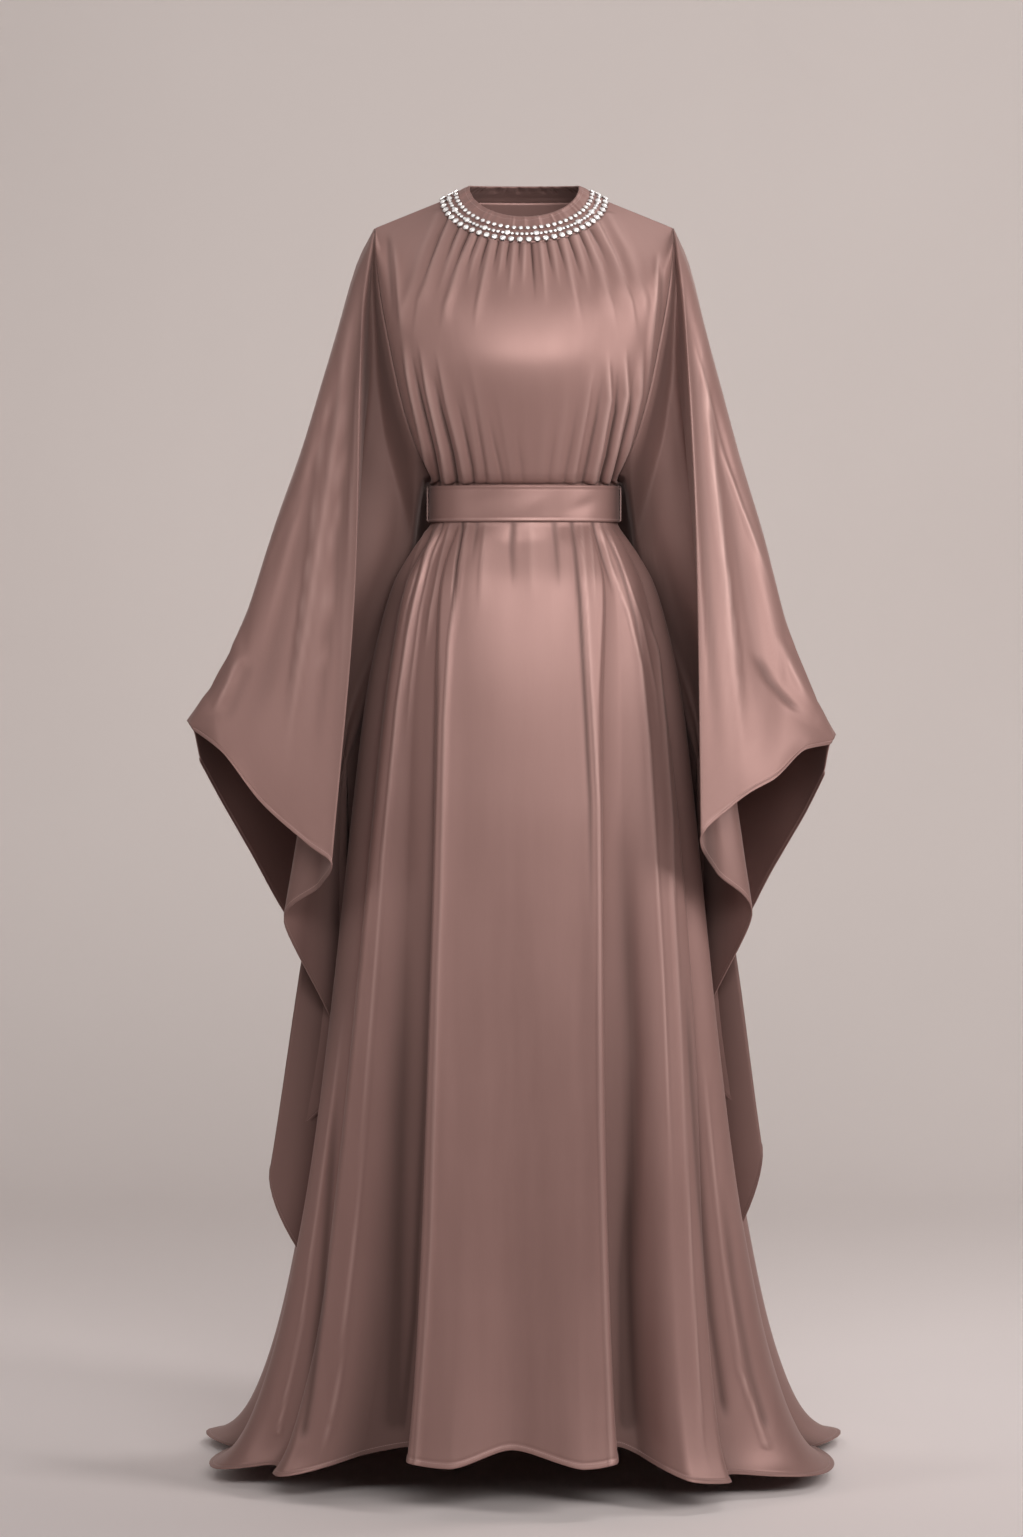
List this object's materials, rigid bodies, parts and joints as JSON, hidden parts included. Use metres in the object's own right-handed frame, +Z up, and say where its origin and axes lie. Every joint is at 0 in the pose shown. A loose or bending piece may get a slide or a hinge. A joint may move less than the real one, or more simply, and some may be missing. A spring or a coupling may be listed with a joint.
{
  "type": "abaya",
  "caption": "Full-length satin abaya as worn: wide hanging butterfly sleeves, gathered bodice and skirt, flat belt, crystal-set neckband; covers a wearer from neck to floor",
  "frame": {"origin": "the middle of the neck and shoulders, 1.44 m above the floor that the hem reaches, where the wearer's shoulders hold the garment up", "axes": "+X is to the right of a viewer who faces the front, +Y is to the back, +Z is up"},
  "size_m": [0.7692, 0.7342, 1.4926],
  "materials": {
    "satin": "mauve brown satin with a fine diagonal weave",
    "belt_satin": "the same satin, faced and edge stitched",
    "crystal": "faceted clear stones in bright settings"
  },
  "bodies": {
    "root": {"neckband": "satin", "crystal_row_upper": "crystal", "crystal_row_middle": "crystal", "crystal_row_lower": "crystal", "bodice_front": "satin", "bodice_back": "satin", "skirt_front": "satin", "skirt_back": "satin", "sleeve_left": "satin", "sleeve_right": "satin", "belt": "belt_satin", "belt_loop_left": "belt_satin", "belt_loop_right": "belt_satin"}
  },
  "joints": []
}
